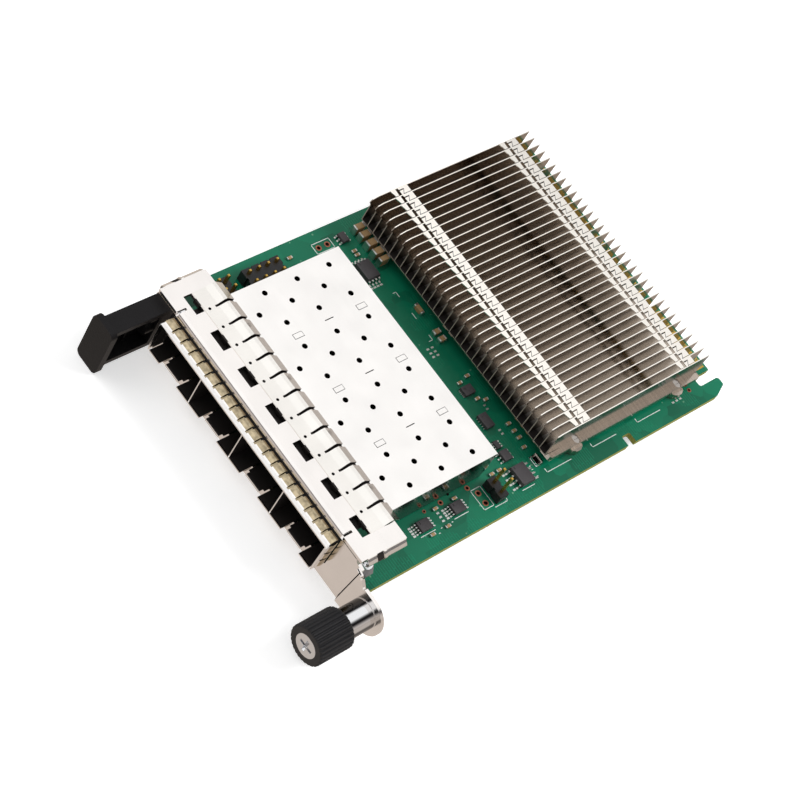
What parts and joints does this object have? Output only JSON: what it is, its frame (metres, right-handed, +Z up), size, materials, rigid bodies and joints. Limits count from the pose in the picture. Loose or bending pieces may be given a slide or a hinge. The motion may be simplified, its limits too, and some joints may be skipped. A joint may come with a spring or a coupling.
{
  "type": "mezzanine network card",
  "caption": "Slide-in network card: faceplate with a row of module ports, sheet-metal cage, finned heat sink, pull tab and captive thumbscrew.",
  "frame": {"origin": "middle of the board's front edge, on the board's top face", "axes": "+Y runs from the faceplate to the plug contacts (the way the card slides in), +Z up from the component side, +X towards the thumbscrew"},
  "size_m": [0.0848, 0.1321, 0.0156],
  "materials": {
    "board_laminate": "green solder mask over glass laminate, satin gloss",
    "gold_plating": "thin gold plating over copper, smooth",
    "bare_copper": "copper rings with a clear finish",
    "solder": "matt tin solder",
    "nickel_sheet": "bright nickel-plated cold-rolled sheet",
    "faceplate_steel": "polished stainless sheet, close to a mirror",
    "spring_steel": "bright spring strip",
    "spring_alloy": "bare copper-alloy spring strip, pale gold",
    "black_nylon": "black moulded plastic, fine texture",
    "connector_black": "black high-temperature moulding",
    "chip_black": "dark grey moulding compound, dull",
    "bronze_fins": "dark bronze-toned fins with bright bare edges",
    "base_copper": "plated block, dull bronze tone",
    "knurled_black": "black moulded knob with fine ribs",
    "bright_steel": "bright plated steel",
    "tan_ceramic": "tan fired ceramic",
    "grey_pad": "soft grey thermal pad",
    "clear_film": "thin black insulating film",
    "green_laminate": "dark green package laminate"
  },
  "bodies": {
    "card": {"pcb": "board_laminate", "edge_contacts": "gold_plating", "plated_rings": "bare_copper", "solder_pads": "solder", "cage_body": "nickel_sheet", "cage_floor": "nickel_sheet", "cage_dividers": "nickel_sheet", "nose_springs_long": "spring_alloy", "nose_springs_side": "spring_alloy", "host_connectors": "connector_black", "host_contacts": "gold_plating", "faceplate": "faceplate_steel", "foot_screws": "bright_steel", "top_finger_strip": "spring_steel", "right_finger_strip": "spring_steel", "left_finger_strip": "spring_steel", "pull_tab": "black_nylon", "tab_screws": "bright_steel", "thumbscrew_sleeve": "bright_steel", "thumbscrew_spring": "bright_steel", "heat_sink_base": "base_copper", "fin_stack": "bronze_fins", "heat_sink_screws": "bright_steel", "controller_substrate": "green_laminate", "controller_lid": "bright_steel", "thermal_pad": "grey_pad", "large_driver_chips": "chip_black", "large_driver_leads": "solder", "small_driver_chips": "chip_black", "small_driver_leads": "solder", "corner_chips": "chip_black", "corner_chip_leads": "solder", "flat_chips": "chip_black", "flat_chip_pads": "solder", "tan_capacitors": "tan_ceramic", "capacitor_ends": "solder", "small_parts": "tan_ceramic", "small_part_ends": "solder", "header_bases": "connector_black", "header_pins": "gold_plating", "crystal_can": "bright_steel", "insulator_film": "clear_film"},
    "thumbscrew_slide": {"spring_washer": "bright_steel"},
    "thumbscrew": {"thumbscrew_knob": "knurled_black", "thumbscrew_screw": "bright_steel"}
  },
  "joints": [
    {"name": "thumbscrew_push", "type": "slide", "parent": "card", "child": "thumbscrew_slide", "axis": [0, 1, 0], "range_m": [0, 0.006], "stiffness_N_per_m": 300, "springref_m": -0.01, "deforming": ["thumbscrew_spring"]},
    {"name": "thumbscrew_turn", "type": "hinge", "parent": "thumbscrew_slide", "child": "thumbscrew", "pos_m": [0.04185, -0.0126, 0.00205], "axis": [0, 1, 0], "continuous": true}
  ]
}
